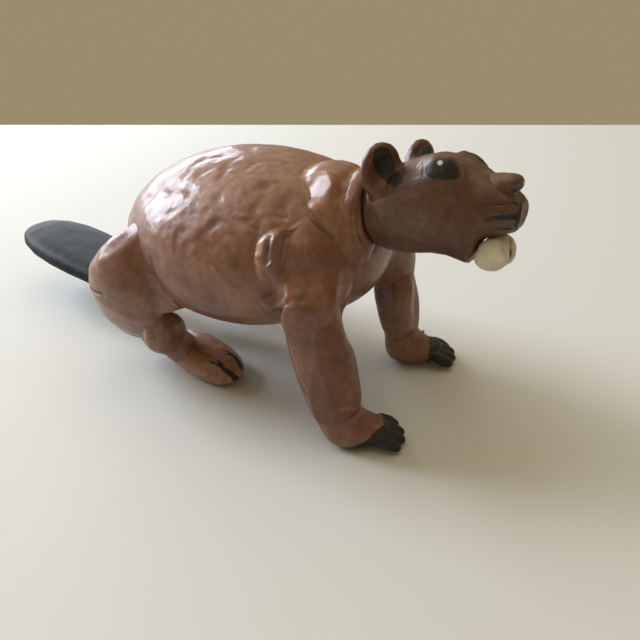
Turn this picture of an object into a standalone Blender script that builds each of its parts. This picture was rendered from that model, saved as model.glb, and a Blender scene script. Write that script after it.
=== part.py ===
"""River stone beaver: pebbles glued to each other, with ears, claws and teeth, standing on four feet.

Metres, +Z up. The beaver faces +X and its left side is +Y. The floor is Z = 0 and the origin is
under the middle of the whole figure. A seat is a place on the stone that carries the piece, counted
from that stone's middle in its own half sizes: 1 is its end, its side or its top.
"""
import math

import bmesh
import bpy
from mathutils import Euler, Matrix, Vector

for leftover in list(bpy.data.objects):
    bpy.data.objects.remove(leftover, do_unlink=True)


def degrees(*angles):
    return tuple(math.radians(angle) for angle in angles)


# Room for the glue where one stone meets the next, and the facets' share of it on a cutter
GLUE_GAP = 0.0003
FACET_ROOM = 0.00015

# Body stone: length, width and height, its middle over the floor and its turn
BODY_SIZE = (0.087, 0.0705, 0.053)
BODY_AT = (0.0006, -0.0026, 0.0463)
BODY_TURN = degrees(0, -3, -2.5)
# Worn flats of the body: the way each one faces, how far out it lies and how flat it is
BODY_FLATS = (
    ((0.6, -0.5, -0.6), 0.92, 0.7),
    ((0.6, 0.5, -0.6), 0.92, 0.7),
    ((0.25, 0, 1), 0.93, 0.6),
)

# Tail stone: length, width and thickness, its seat on the body and its turn
TAIL_SIZE = (0.0820, 0.0276, 0.0092)
TAIL_SEAT = (-1.773, 0.110, -0.855)
TAIL_TURN = degrees(0, 3.2, -14.3)
TAIL_TAPER = -0.17
TAIL_FLATS = (((0, 0, 1), 0.80, 0.8), ((0, 0, -1), 0.80, 0.8))

# Putty lump that holds the tail's root under the back of the body
TAIL_ROOT_SIZE = (0.024, 0.019, 0.017)
TAIL_ROOT_SEAT = (-0.87, 0.10, -0.64)
TAIL_ROOT_TURN = degrees(0, -30, -8)

# Thin throat stone seated on the body, and the neck stone whose front end goes into it. The
# neck's middle is counted down from its seat on the body's back.
THROAT_SIZE = (0.0120, 0.0345, 0.0345)
THROAT_SEAT = (0.815, 0.04, 0.235)
THROAT_TURN = degrees(-5, -2, 6)
NECK_SIZE = (0.0285, 0.038, 0.032)
NECK_INTO_THROAT = 0.0040
NECK_SIDEWAYS = -0.0012
NECK_BACK_SEAT = (0.58, 0.0, 0.81)
NECK_BELOW_BACK = 0.01288
NECK_TURN = degrees(0, 10, 4)

# Head stone: length, width and height, its seat on the body and its turn
HEAD_SIZE = (0.0450, 0.027, 0.0275)
HEAD_SEAT = (1.330, 0.089, 0.585)
HEAD_TURN = degrees(-11, -4, 1)
# Head profile from back to front: place along it, half width, top and underside
HEAD_PROFILE = (
    (-1.00, 0.94, 0.40, -0.84),
    (-0.68, 0.98, 0.64, -0.98),
    (-0.35, 1.00, 0.86, -1.02),
    (0.05, 0.98, 1.02, -0.97),
    (0.28, 0.88, 0.89, -1.03),
    (0.45, 0.82, 0.78, -1.12),
    (0.55, 0.78, 0.69, -0.64),
    (0.80, 0.74, 0.52, -0.52),
    (1.00, 0.70, 0.34, -0.50),
)
# Extra stations along the head, where the chin steps up to the muzzle
JAW_FRONT = (0.44, 0.49, 0.54)
BACK_OF_HEAD_FULLNESS = 4.2
MUZZLE_FULLNESS = 5.0
HEAD_SECTION_FULLNESS = 2.4
MUZZLE_PAD_SEAT = (0.92, 0.36, -0.02)
MUZZLE_PAD_FACING = (0.9, 0.4, 0)
MUZZLE_PAD_SWELL = 0.0009
MUZZLE_PAD_RADIUS = 0.0055
MUZZLE_CLEFT = 0.0014
MUZZLE_CLEFT_FROM = 0.80
MUZZLE_CLEFT_HEIGHT = 0.50
EYE_SEATS = {"right": (0.13, -0.80, 0.76), "left": (0.33, 0.66, 0.80)}
EYE_FACING = (0, 0.4, 0.9)
EYE_BULGE = 0.0036
EYE_BULGE_RADIUS = 0.0078

# Ears: thickness, width and height, their seats on the head and the dish in their fronts
EAR_SIZE = (0.0050, 0.0120, 0.0145)
EAR_SEATS = {"right": (-0.622, -0.76, 0.665), "left": (-0.40, 0.70, 0.66)}
EAR_TURNS = {"right": degrees(-8, -8, -38), "left": degrees(-8, -8, -20)}
EAR_DISH_RADIUS = 0.42
EAR_DISH_DEPTH = 0.55

# Nose stone and teeth, seated on the head
NOSE_SIZE = (0.0078, 0.0086, 0.0048)
NOSE_SEAT = (0.80, -0.14, 0.515)
NOSE_TAPER = 0.1
TOOTH_SIZE = (0.0096, 0.0052, 0.0098)
TOOTH_SEATS = {"right": (0.685, -0.26, -0.84), "left": (0.725, 0.17, -0.84)}

# Front legs: shoulder and elbow seats on the body, paws on the floor, wrists over the paws
SHOULDER_SIZE = (0.0205, 0.013, 0.0265)
SHOULDER_SEATS = {"right": (0.603, -0.720, 0.06), "left": (0.67, 0.71, -0.08)}
SHOULDER_TURNS = {"right": degrees(14, 0, -6), "left": degrees(-14, 0, 6)}
ELBOW_SEATS = {"right": (0.698, -0.74, -0.16), "left": (0.80, 0.686, -0.50)}
FORELEG_WIDTHS = {"right": 0.0168, "left": 0.0136}
WRIST_WIDTHS = {"right": 0.0146, "left": 0.0104}
FORELEG_DEPTH = 0.0145
# Shares of the foreleg's width at the elbow and halfway, and of its depth down to the wrist
FORELEG_WIDTH_SHARES = (0.90, 1.02)
FORELEG_DEPTH_SHARES = (1.0, 1.0, 0.9)
FORELEG_FACING = (0.2, 1.0, 0.0)
FORELEG_FULLNESS = 5.0
PAW_SIZE = (0.0185, 0.0132, 0.0094)
PAW_SEATS = {"right": (1.050, -0.80), "left": (1.080, 0.575)}
PAW_TURNS = {"right": degrees(0, 0, 23), "left": degrees(0, 0, 22)}
PAW_TAPER = -0.1
WRIST_SEATS = {"right": (-0.60, 0.0, 1.0), "left": (-0.52, 0.0, 1.2)}

# Claws: how many on a paw, their width, how far they reach past it, and how they fan out.
# Their roots start inside the paw, and the outer ones are set in from its sides.
CLAW_COUNT = 4
CLAW_WIDTH = 0.0027
CLAW_REACH = 0.0048
CLAW_SPREAD = math.radians(4)
CLAW_ROOT = 0.44
CLAW_ROOT_INSET = 0.7
CLAW_OUTER_SHORTER = 0.35
CLAW_KNUCKLE_AT = 0.55
CLAW_KNUCKLE_RISE = 0.3
CLAW_WIDTH_SHARES = (1.0, 1.05, 0.75)
CLAW_DEPTH_SHARES = (1.0, 1.0, 0.6)
CLAW_FULLNESS = 3.5

# Hind legs: one flat leg stone from the hip by the thigh, the knee and the calf to the shin
HIND_LEG_THICKNESS = 0.0125
HIND_LEG_WIDTH = 0.0212
HIND_LEG_SEATS = {
    "right": ((-0.58, -0.74, 0.25), (-0.65, -0.85, -0.02), (-0.72, -0.87, -0.42), (-0.83, -0.68, -0.97)),
    "left": ((-0.58, 0.74, 0.25), (-0.65, 0.86, -0.02), (-0.72, 0.88, -0.42), (-0.83, 0.70, -0.97)),
}
HIND_LEG_WIDTH_SHARES = (0.50, 0.86, 1.26, 1.24, 0.85)
HIND_LEG_DEPTH_SHARES = (0.55, 0.75, 1.0, 1.0, 0.75)
HIND_LEG_FACING = (0.0, 1.0, 0.2)
HIND_LEG_FULLNESS = 2.8
# Hind feet on the floor, the ankle stones on them, and the shins' ends counted from the ankles
HIND_FOOT_SIZE = (0.0330, 0.0170, 0.0104)
HIND_FOOT_SEATS = {"right": (-0.333, -0.423), "left": (-0.52, 0.868)}
HIND_FOOT_TURNS = {"right": degrees(0, 4.2, -15.7), "left": degrees(0, 4.2, 12)}
ANKLE_SIZE = (0.0110, 0.0135, 0.0135)
ANKLE_SEATS = {"right": (-0.55, -1.07, 1.80), "left": (-0.50, 0.45, 1.75)}
ANKLE_TURNS = {"right": degrees(0, 30, -6), "left": degrees(0, 30, 6)}
SHIN_SEATS = {"right": (-1.89, 1.33, -1.06), "left": (-1.60, -1.50, -1.00)}

# How much of its height a paw or foot has under its middle before the flat sole
SOLE_SHARE = 0.47

# How full each stone's outline is: 2 is an ellipse, and more is squarer
FULLNESS = {
    "body": 2.04, "tail": 2.4, "tail root": 2.3, "neck": 2.3, "throat": 2.4, "ear": 2.2, "nose": 2.5,
    "tooth": 2.2, "shoulder": 2.7, "paw": 2.2, "hind foot": 2.3, "ankle": 2.3,
}
# Share of a limb's line over which its direction is taken
LINE_STEP = 0.01
# Facets around and along each stone
FACETS = {
    "body": (34, 18), "tail": (20, 12), "tail root": (14, 8), "neck": (18, 11), "throat": (18, 8),
    "head": (24, 18), "ear": (16, 10), "nose": (14, 8), "tooth": (14, 8), "shoulder": (18, 11),
    "foreleg": (18, 12), "paw": (16, 9), "claw": (6, 5), "hind leg": (16, 11), "ankle": (16, 8),
    "hind foot": (18, 10),
}

# Finishes: slot name, colour and roughness
VARNISHED_BROWN = ("varnished_brown", (0.16, 0.075, 0.045), 0.35)
DARK_STONE = ("dark_stone", (0.045, 0.055, 0.060), 0.45)
CREAM_STONE = ("cream_stone", (0.62, 0.56, 0.44), 0.40)

# The two sides of the beaver and the way each one faces across it
SIDES = (("right", -1), ("left", 1))


def material(name, colour, roughness):
    """Principled material, made once for each name."""
    made = bpy.data.materials.get(name)
    if made is None:
        made = bpy.data.materials.new(name)
        made.use_nodes = True
        shader = made.node_tree.nodes["Principled BSDF"]
        shader.inputs["Base Color"].default_value = (*colour, 1.0)
        shader.inputs["Roughness"].default_value = roughness
        shader.inputs["Metallic"].default_value = 0.0
    return made


beaver = bpy.data.objects.new("beaver", None)
bpy.context.collection.objects.link(beaver)


def placed(name, mesh, at, turn):
    """Put a mesh into the figure as an object."""
    made = bpy.data.objects.new(name, mesh)
    bpy.context.collection.objects.link(made)
    made.parent = beaver
    made.location = at
    made.rotation_euler = turn
    return made


def hide(helper):
    """Keep a shape that only serves a modifier out of the part."""
    helper.hide_render = True
    helper.display_type = "WIRE"
    return helper


def stone(name, bm, at, turn=(0, 0, 0), finish=VARNISHED_BROWN):
    """Make the object of one stone from its bmesh, whose origin is the stone's middle."""
    bmesh.ops.recalc_face_normals(bm, faces=bm.faces)
    mesh = bpy.data.meshes.new(name)
    bm.to_mesh(mesh)
    bm.free()
    mesh.shade_smooth()
    mesh.materials.append(material(*finish))
    return placed(name, mesh, at, turn)


def frame(at, turn):
    return Matrix.LocRotScale(Vector(at), Euler(turn), None)


def shares_of(size, shares):
    """Offset at the given shares of a stone's half sizes."""
    return Vector([share * length / 2 for share, length in zip(shares, size)])


def halves(length, shares):
    """Half of each share of a length."""
    return [length / 2 * share for share in shares]


def outward(direction, side):
    """The left side's direction or offset, turned over for the right side."""
    return Vector(direction) * Vector((1, side, 1))


def on_body(seat):
    return frame(BODY_AT, BODY_TURN) @ shares_of(BODY_SIZE, seat)


def on_head(seat):
    return frame(on_body(HEAD_SEAT), HEAD_TURN) @ shares_of(HEAD_SIZE, seat)


def on_floor(seat, height):
    """Point at a height over the floor, at shares of the body's length and width."""
    return Vector((*BODY_AT[:2], height)) + shares_of(BODY_SIZE, (*seat, 0))


def rounded(direction, power):
    """Scale a direction onto a ball whose corners fill out as the power grows."""
    total = sum(abs(part) ** power for part in direction)
    return direction / total ** (1 / power)


def pebble(kind, size, taper=0.0, flats=()):
    """Water-worn stone: a full ball drawn to size, thicker to +X by taper, with soft flats."""
    sides, rings = FACETS[kind]
    bm = bmesh.new()
    poles_along_x = Matrix.Rotation(math.pi / 2, 4, "Y")
    bmesh.ops.create_uvsphere(bm, u_segments=sides, v_segments=rings, radius=1.0, matrix=poles_along_x)
    for vert in bm.verts:
        point = rounded(vert.co.normalized(), FULLNESS[kind])
        for normal, depth, strength in flats:
            facing = Vector(normal).normalized()
            over = point.dot(facing) - depth
            if over > 0:
                point -= facing * over * strength
        girth = 1 + taper * point.x
        vert.co = shares_of(size, (point.x, point.y * girth, point.z * girth))
    return bm


def blend(keys, share):
    """Smooth value between keys at a share 0 to 1 of the way, by a Catmull-Rom curve."""
    spans = len(keys) - 1
    place = min(max(share, 0.0), 1.0) * spans
    first = min(int(place), spans - 1)
    t = place - first
    before = keys[max(first - 1, 0)]
    start = keys[first]
    end = keys[first + 1]
    after = keys[min(first + 2, spans)]
    return 0.5 * (2 * start + (end - before) * t + (2 * before - 5 * start + 4 * end - after) * t * t
                  + (3 * start - before - 3 * end + after) * t ** 3)


def around(sides):
    """Cosine and sine of each of the given number of even turns."""
    turns = [2 * math.pi * side / sides for side in range(sides)]
    return [(math.cos(turn), math.sin(turn)) for turn in turns]


def skin(bm, loops, first_tip, last_tip):
    """Close a row of point loops into one skin, with a tip at each end."""
    made = [[bm.verts.new(point) for point in loop] for loop in loops]
    count = len(loops[0])
    for near, far in zip(made, made[1:]):
        for k in range(count):
            following = (k + 1) % count
            bm.faces.new((near[k], near[following], far[following], far[k]))
    for tip, loop in ((first_tip, made[0]), (last_tip, made[-1])):
        point = bm.verts.new(tip)
        for k in range(count):
            bm.faces.new((loop[k], loop[(k + 1) % count], point))


def limb(kind, points, half_widths, half_depths, facing, fullness):
    """Long stone along a smooth line, wide across the line and deep along the way it faces.

    Its origin is the line's first point.
    """
    sides, rings = FACETS[kind]
    bm = bmesh.new()
    loops = []
    for k in range(1, rings):
        share = (1 - math.cos(math.pi * k / rings)) / 2
        middle = blend(points, share) - points[0]
        along = (blend(points, share + LINE_STEP) - blend(points, share - LINE_STEP)).normalized()
        wide = along.cross(facing).normalized()
        deep = wide.cross(along)
        full = (1 - abs(2 * share - 1) ** fullness) ** (1 / fullness)
        half_width = blend(half_widths, share) * full
        half_depth = blend(half_depths, share) * full
        loops.append([middle + wide * half_width * x + deep * half_depth * y for x, y in around(sides)])
    skin(bm, loops, Vector((0, 0, 0)), points[-1] - points[0])
    return bm


def swell(bm, at, radius, height, toward):
    """Raise a soft round bump on a mesh."""
    for vert in bm.verts:
        near = (vert.co - at).length / radius
        if near < 1:
            vert.co += toward * height * (1 - near * near) ** 2


def flat_sole(bm, place):
    """Cut a mesh off flat where it would go below the floor, and close it."""
    everything = bm.verts[:] + bm.edges[:] + bm.faces[:]
    floor = place.inverted() @ Vector((0, 0, 0))
    down = place.to_3x3().inverted() @ Vector((0, 0, -1))
    result = bmesh.ops.bisect_plane(bm, geom=everything, plane_co=floor, plane_no=down, clear_outer=True)
    rim = [part for part in result["geom_cut"] if isinstance(part, bmesh.types.BMEdge)]
    bmesh.ops.contextual_create(bm, geom=rim)
    return bm


def cutter(of):
    """Hidden copy of a stone, grown by the gap, that cuts the stones resting on it."""
    bm = bmesh.new()
    bm.from_mesh(of.data)
    bm.normal_update()
    room = GLUE_GAP + FACET_ROOM
    grown = [vert.co + vert.normal * room * vert.calc_shell_factor() for vert in bm.verts]
    for vert, place in zip(bm.verts, grown):
        vert.co = place
    mesh = bpy.data.meshes.new(of.name + "_cutter")
    bm.to_mesh(mesh)
    bm.free()
    return hide(placed(mesh.name, mesh, of.location, of.rotation_euler))


def join_or_cut(piece, operation, helpers):
    """Join helpers to a piece, or cut them from it, all at once."""
    together = bpy.data.collections.new(piece.name + " " + operation.lower())
    for helper in helpers:
        together.objects.link(helper)
    modifier = piece.modifiers.new(together.name, "BOOLEAN")
    modifier.operation = operation
    modifier.solver = "EXACT"
    modifier.operand_type = "COLLECTION"
    modifier.collection = together


def cut(piece, *carriers):
    """Cut a stone back to leave the glue gap to each carrier."""
    join_or_cut(piece, "DIFFERENCE", carriers)


# Body and tail
body = stone("body_stone", pebble("body", BODY_SIZE, flats=BODY_FLATS), BODY_AT, BODY_TURN)
body_cutter = cutter(body)
tail_shape = pebble("tail", TAIL_SIZE, TAIL_TAPER, TAIL_FLATS)
tail = stone("tail_stone", tail_shape, on_body(TAIL_SEAT), TAIL_TURN, DARK_STONE)
cut(tail, body_cutter)
tail_root = stone("tail_root", pebble("tail root", TAIL_ROOT_SIZE), on_body(TAIL_ROOT_SEAT), TAIL_ROOT_TURN)


# Head
def head_loop(x, half, top, under):
    """One loop of points around the head at a share along it, drawn in towards its ends."""
    power = BACK_OF_HEAD_FULLNESS if x < 0 else MUZZLE_FULLNESS
    full = (1 - abs(x) ** power) ** (1 / power)
    middle = (top + under) / 2
    reach = (top - under) / 2 * full
    loop = []
    for across, up in around(FACETS["head"][0]):
        edge = rounded(Vector((across, up, 0)), HEAD_SECTION_FULLNESS)
        loop.append(shares_of(HEAD_SIZE, (x, edge.x * half * full, middle + edge.y * reach)))
    return loop


def head_shape():
    """Head from its profile, with brows over the eyes and two muzzle pads."""
    rings = FACETS["head"][1]
    places = [key[0] for key in HEAD_PROFILE]
    keys = [Vector(key[1:]) for key in HEAD_PROFILE]
    loops = []
    for x in sorted([-math.cos(math.pi * k / rings) for k in range(1, rings)] + list(JAW_FRONT)):
        span = max(i for i in range(len(places) - 1) if places[i] <= x)
        share = (span + (x - places[span]) / (places[span + 1] - places[span])) / (len(places) - 1)
        loops.append(head_loop(x, *blend(keys, share)))
    tips = [shares_of(HEAD_SIZE, (place, 0, (key.y + key.z) / 2))
            for place, key in ((places[0], keys[0]), (places[-1], keys[-1]))]
    bm = bmesh.new()
    skin(bm, loops, *tips)
    for word, side in SIDES:
        brow = shares_of(HEAD_SIZE, EYE_SEATS[word])
        swell(bm, brow, EYE_BULGE_RADIUS, EYE_BULGE, outward(EYE_FACING, side).normalized())
        pad = outward(shares_of(HEAD_SIZE, MUZZLE_PAD_SEAT), side)
        swell(bm, pad, MUZZLE_PAD_RADIUS, MUZZLE_PAD_SWELL, outward(MUZZLE_PAD_FACING, side).normalized())
    cleft = shares_of(HEAD_SIZE, (MUZZLE_CLEFT_FROM, 0, MUZZLE_CLEFT_HEIGHT))
    for vert in bm.verts:
        if abs(vert.co.y) < GLUE_GAP and vert.co.x > cleft.x and abs(vert.co.z) < cleft.z:
            vert.co.x -= MUZZLE_CLEFT
    return bm


head = stone("head_stone", head_shape(), on_body(HEAD_SEAT), HEAD_TURN)
head_cutter = cutter(head)
cut(head, body_cutter)

# Throat and neck, between the head and the body
throat_at = on_body(THROAT_SEAT)
throat = stone("throat_stone", pebble("throat", THROAT_SIZE), throat_at, THROAT_TURN)
cut(throat, body_cutter, head_cutter)
neck_at = throat_at + Vector((NECK_INTO_THROAT - NECK_SIZE[0] / 2, NECK_SIDEWAYS, 0))
neck_at.z = on_body(NECK_BACK_SEAT).z - NECK_BELOW_BACK
neck = stone("neck_stone", pebble("neck", NECK_SIZE), neck_at, NECK_TURN)
cut(neck, body_cutter, head_cutter, cutter(throat))

# Nose
nose = stone("nose_stone", pebble("nose", NOSE_SIZE, NOSE_TAPER), on_head(NOSE_SEAT), HEAD_TURN)
cut(nose, head_cutter)

# Ears and teeth
for word, side in SIDES:
    ear_shape = pebble("ear", EAR_SIZE)
    dish = shares_of(EAR_SIZE, (1, 0, 0))
    swell(ear_shape, dish, EAR_SIZE[2] * EAR_DISH_RADIUS, EAR_SIZE[0] * EAR_DISH_DEPTH, Vector((-1, 0, 0)))
    ear = stone(word + "_ear", ear_shape, on_head(EAR_SEATS[word]), EAR_TURNS[word])
    cut(ear, head_cutter)
    tooth_shape = pebble("tooth", TOOTH_SIZE)
    tooth = stone(word + "_tooth", tooth_shape, on_head(TOOTH_SEATS[word]), HEAD_TURN, CREAM_STONE)
    cut(tooth, head_cutter)


# Front legs
def claw(word, number, paw_at, paw_turn):
    """One claw, as a hidden shape that is joined to its paw."""
    across = number / (CLAW_COUNT - 1) * 2 - 1
    root = shares_of(PAW_SIZE, (CLAW_ROOT, across, 0))
    root.y -= across * CLAW_WIDTH * CLAW_ROOT_INSET
    heading = Vector((math.cos(across * CLAW_SPREAD), math.sin(across * CLAW_SPREAD), 0))
    past_paw = CLAW_REACH * (1 - CLAW_OUTER_SHORTER * across * across)
    tip = root + heading * (PAW_SIZE[0] / 2 - root.x + past_paw)
    tip.z = GLUE_GAP + CLAW_WIDTH / 2 - paw_at.z
    knuckle = root.lerp(tip, CLAW_KNUCKLE_AT)
    knuckle.z += CLAW_WIDTH * CLAW_KNUCKLE_RISE
    half_widths = halves(CLAW_WIDTH, CLAW_WIDTH_SHARES)
    half_depths = halves(CLAW_WIDTH, CLAW_DEPTH_SHARES)
    bm = limb("claw", [root, knuckle, tip], half_widths, half_depths, Vector((0, 0, 1)), CLAW_FULLNESS)
    return hide(stone(f"{word}_claw_{number}", bm, frame(paw_at, paw_turn) @ root, paw_turn))


for word, side in SIDES:
    shoulder_at = on_body(SHOULDER_SEATS[word])
    shoulder_shape = pebble("shoulder", SHOULDER_SIZE)
    shoulder = stone(word + "_shoulder_stone", shoulder_shape, shoulder_at, SHOULDER_TURNS[word])
    cut(shoulder, body_cutter)

    paw_at = on_floor(PAW_SEATS[word], PAW_SIZE[2] * SOLE_SHARE)
    paw_turn = PAW_TURNS[word]
    paw_place = frame(paw_at, paw_turn)
    elbow = on_body(ELBOW_SEATS[word])
    wrist = paw_place @ shares_of(PAW_SIZE, WRIST_SEATS[word])
    half_widths = halves(FORELEG_WIDTHS[word], FORELEG_WIDTH_SHARES)
    half_widths.append(WRIST_WIDTHS[word] / 2)
    foreleg_shape = limb("foreleg", [elbow, elbow.lerp(wrist, 0.5), wrist], half_widths,
                         halves(FORELEG_DEPTH, FORELEG_DEPTH_SHARES), outward(FORELEG_FACING, side),
                         FORELEG_FULLNESS)
    foreleg = stone(word + "_foreleg_stone", foreleg_shape, elbow)
    foreleg_cutter = cutter(foreleg)
    cut(foreleg, body_cutter, cutter(shoulder))

    paw_shape = flat_sole(pebble("paw", PAW_SIZE, PAW_TAPER), paw_place)
    paw = stone(word + "_front_paw", paw_shape, paw_at, paw_turn)
    join_or_cut(paw, "UNION", [claw(word, number, paw_at, paw_turn) for number in range(CLAW_COUNT)])
    cut(paw, foreleg_cutter)


# Hind legs, and the tail's root between them
leg_cutters = []
for word, side in SIDES:
    foot_at = on_floor(HIND_FOOT_SEATS[word], HIND_FOOT_SIZE[2] * SOLE_SHARE)
    foot_turn = HIND_FOOT_TURNS[word]
    foot_place = frame(foot_at, foot_turn)
    foot_shape = flat_sole(pebble("hind foot", HIND_FOOT_SIZE), foot_place)
    foot = stone(word + "_hind_foot", foot_shape, foot_at, foot_turn)
    foot_cutter = cutter(foot)

    ankle_at = foot_place @ shares_of(HIND_FOOT_SIZE, ANKLE_SEATS[word])
    ankle = stone(word + "_ankle_stone", pebble("ankle", ANKLE_SIZE), ankle_at, ANKLE_TURNS[word])
    ankle_cutter = cutter(ankle)
    cut(ankle, foot_cutter)

    points = [on_body(seat) for seat in HIND_LEG_SEATS[word]]
    points.append(ankle_at + shares_of(ANKLE_SIZE, SHIN_SEATS[word]))
    leg_shape = limb("hind leg", points, halves(HIND_LEG_WIDTH, HIND_LEG_WIDTH_SHARES),
                     halves(HIND_LEG_THICKNESS, HIND_LEG_DEPTH_SHARES), outward(HIND_LEG_FACING, side),
                     HIND_LEG_FULLNESS)
    leg = stone(word + "_hind_leg_stone", leg_shape, points[0])
    cut(leg, body_cutter, ankle_cutter, foot_cutter)
    leg_cutters.append(cutter(leg))
cut(tail_root, body_cutter, cutter(tail), *leg_cutters)


# Set the figure's origin on the floor under the middle of its own bounding box
def middle_of_figure():
    bpy.context.view_layer.update()
    shapes = bpy.context.evaluated_depsgraph_get()
    points = []
    for piece in beaver.children:
        if not piece.hide_render:
            shaped = piece.evaluated_get(shapes)
            points.extend(shaped.matrix_world @ vert.co for vert in shaped.data.vertices)
    middles = [(min(axis) + max(axis)) / 2 for axis in zip(*points)]
    return Vector((middles[0], middles[1], 0))


beaver.location = -middle_of_figure()
bpy.context.view_layer.update()
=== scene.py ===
import itertools
import math

import bpy
import numpy as np
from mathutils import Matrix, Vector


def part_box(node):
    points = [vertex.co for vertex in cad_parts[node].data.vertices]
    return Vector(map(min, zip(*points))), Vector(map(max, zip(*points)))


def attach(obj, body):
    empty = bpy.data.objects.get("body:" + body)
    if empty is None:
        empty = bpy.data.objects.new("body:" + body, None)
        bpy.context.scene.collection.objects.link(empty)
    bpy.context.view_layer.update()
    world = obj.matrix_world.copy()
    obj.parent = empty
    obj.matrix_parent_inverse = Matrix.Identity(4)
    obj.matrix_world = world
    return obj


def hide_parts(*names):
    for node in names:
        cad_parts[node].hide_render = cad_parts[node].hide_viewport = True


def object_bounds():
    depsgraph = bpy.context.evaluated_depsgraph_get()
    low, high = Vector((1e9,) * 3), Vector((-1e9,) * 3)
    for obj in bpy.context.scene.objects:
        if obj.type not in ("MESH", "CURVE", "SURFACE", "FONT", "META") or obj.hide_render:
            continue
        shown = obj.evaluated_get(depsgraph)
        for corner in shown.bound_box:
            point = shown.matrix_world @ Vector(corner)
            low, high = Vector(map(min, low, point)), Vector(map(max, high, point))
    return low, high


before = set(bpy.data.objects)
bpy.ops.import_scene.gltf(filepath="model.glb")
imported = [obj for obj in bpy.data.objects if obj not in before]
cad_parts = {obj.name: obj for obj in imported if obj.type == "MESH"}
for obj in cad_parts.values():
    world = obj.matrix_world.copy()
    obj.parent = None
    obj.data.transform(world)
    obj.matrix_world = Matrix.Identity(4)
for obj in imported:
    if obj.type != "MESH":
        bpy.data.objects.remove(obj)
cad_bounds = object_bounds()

import openvdb
from mathutils import Euler, Vector
from mathutils.bvhtree import BVHTree

MM = 0.001
SIDES = ("right", "left")

# Camera: its place from the middle of the body stone's box, its turn, its sensor and lens in mm, and
# the width and height of the photo in pixels
CAMERA_FROM_BODY = (104.0 * MM, -177.6 * MM, 86.9 * MM)
CAMERA_TURN = (math.radians(60), 0.0, math.radians(25))
SENSOR = 36.0
LENS = 39.49
IMAGE = 640

# Stage: the floor ends where the photo's wall begins, and the room's colour shows past it. The room
# goes from dark to bright over a stretch of the way that the camera looks.
FLOOR_COLOUR = (0.58, 0.59, 0.565)
FLOOR_ROUGHNESS = 0.8
FLOOR_REACH = 3.0
FLOOR_END = 0.515
ROOM_COLOUR = (1.0, 0.80, 0.47)
ROOM_BRIGHT = 0.33
ROOM_DARK = 0.30
ROOM_FADE = (-0.3, 0.6)
# Lights: direction in degrees from +X and over the floor, distance, size, power and colour
LIGHTS = {
    "window": (180, 27, 1.25, (0.60, 0.75), 22.5, (0.80, 0.87, 1.0)),
    "side_window": (143, 14, 1.10, (0.75, 0.45), 6.5, (0.80, 0.88, 1.0)),
    "ceiling": (140, 78, 1.60, (2.20, 2.20), 14.0, (1.0, 0.86, 0.65)),
}

# Head: its turn about X, Y and Z
HEAD_TURN = tuple(math.radians(angle) for angle in (-11, -4, 1))
# Eyes: the near one's middle, back, front, top, bottom and dot in the photo, how far the far one lies
# from its mirror image, how square their outline is, and how far from the middle it is looked for
EYE_PIXELS = ((443.7, 167.5), (427.5, 168), (460, 167), (444, 157), (444, 179), (440, 163))
FAR_EYE_SHIFT = (4.5 * MM, -1.9 * MM, 0.5 * MM)
EYE_POWER = 2.4
EYE_REACH = 8 * MM
# The height of an eye's dome, the depth of the groove around it, the groove's place and width as
# shares of the eye, and the radius of the dot
EYE_DOME = 0.15 * MM
EYE_GROOVE = 0.25 * MM
EYE_GROOVE_AT = 1.12
EYE_GROOVE_WIDTH = 0.12
EYE_DOT = 0.62 * MM

# Paws: two pixels on the edge of the black on each, the way they point, how much the claws fill out,
# from how far ahead of the paw's middle and over what half stretch, how high the black reaches, and
# the height, size and seed of the noise in its edge
PAW_BLACK = {"right": ((359, 445), (383, 422)), "left": ((428, 366), (430, 340))}
PAW_HEADING = math.radians(23)
CLAW_SWELL = 0.70 * MM
CLAW_FROM = 4.0 * MM
CLAW_BLEND = 1.5 * MM
CLAW_TOP = 9.0 * MM
CLAW_EDGE = (0.7 * MM, 2.5 * MM, 6.0)

# Shoulders: the shares of their length and height over which their upper front comes to hug the
# body, and how closely it does
HUG_FRONT = (0.30, 0.62)
HUG_TOP = (0.25, 0.70)
HUG = 0.75

# Distance fields: how far they reach from a surface and for which kinds wider, how much lower their
# block goes for a lump, and their three spacings
BAND = 5.0 * MM
WIDE_BAND = 8.0 * MM
ROOM_BELOW = {"shoulder_stone": 6.0 * MM}
WIDE_KINDS = ("body_stone", "shoulder_stone", "foreleg_stone")
BROAD = 0.56 * MM
FINE = 0.38 * MM
FINEST = 0.30 * MM

# Putty between stones: how far under the carrier's surface it runs, how fast it sinks past what it
# covers, how deep a piece may reach into a carrier, how near its field's end putty may come, and half
# the stretch over which a fillet's width changes
PUTTY_DEPTH = 0.22 * MM
PUTTY_FALL = 0.3
CLIP_DEPTH = 1.4 * MM
BAND_MARGIN = 0.3 * MM
FRONT_BLEND = 3.0 * MM
# The fillet around a lump that is pressed on
LUMP_FILLET = 2.5 * MM
# Fields are read up to this many steps short of their number of points, so a next point is there
LAST_STEP = 1.001
# Blurs: how many box blurs make one, and how wide the last one of a piece with putty is, in steps
BOXES = 3
PUTTY_BLUR = 0.9
# Surfaces: how often their points are evened out, and how far each time
EVEN_ROUNDS = 2
EVEN_SHARE = 0.6
# Distance to paint that isn't there
FAR_OFF = 9.0 * MM
# What the paint reads from a mesh: distances in mm, and plain shares. Painted shade darkens grooves,
# gaps and pits, and painted sheen and painted highlights lighten rims and upper sides.
LAYERS = {"black": 1 / MM, "cream": 1 / MM, "wash": 1.0, "tone": 1.0, "pale": 1.0}
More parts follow.
